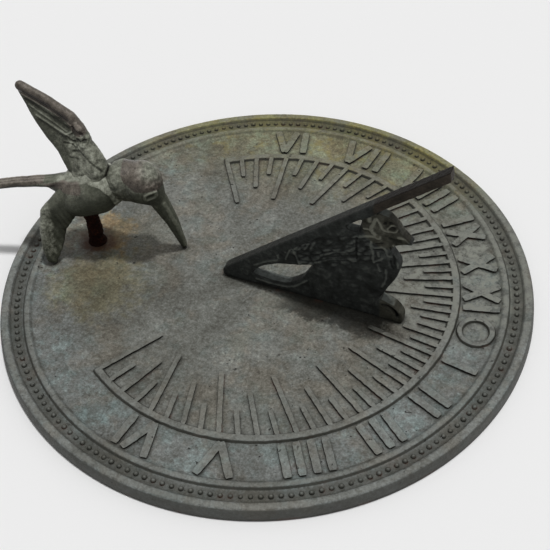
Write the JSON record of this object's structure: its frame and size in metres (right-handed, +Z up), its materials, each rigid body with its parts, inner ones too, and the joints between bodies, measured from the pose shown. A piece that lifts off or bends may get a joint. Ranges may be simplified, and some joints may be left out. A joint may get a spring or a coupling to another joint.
{
  "type": "horizontal garden sundial",
  "caption": "Round cast brass sundial with a beaded rim, Roman numerals, a pierced songbird gnomon and a hummingbird on an iron post.",
  "frame": {"origin": "centre of the dial on the surface that it rests on", "axes": "+Z up, +X along the noon line from the centre towards the style's tip, +Y towards the morning hours"},
  "size_m": [0.2708, 0.254, 0.102],
  "materials": {
    "dial_brass": "weathered grey-green patina",
    "dark_brass": "dark patina, satin",
    "screw_brass": "dull",
    "rusty_iron": "rusty",
    "bird_brass": "weathered patina with browner high places"
  },
  "bodies": {
    "root": {"dial_plate": "dial_brass", "gnomon": "dark_brass", "gnomon_screws": "screw_brass", "support_post": "rusty_iron", "post_screw": "rusty_iron", "bird_body": "bird_brass", "bird_head": "bird_brass", "raised_wing": "bird_brass", "lowered_wing": "bird_brass"}
  },
  "joints": []
}
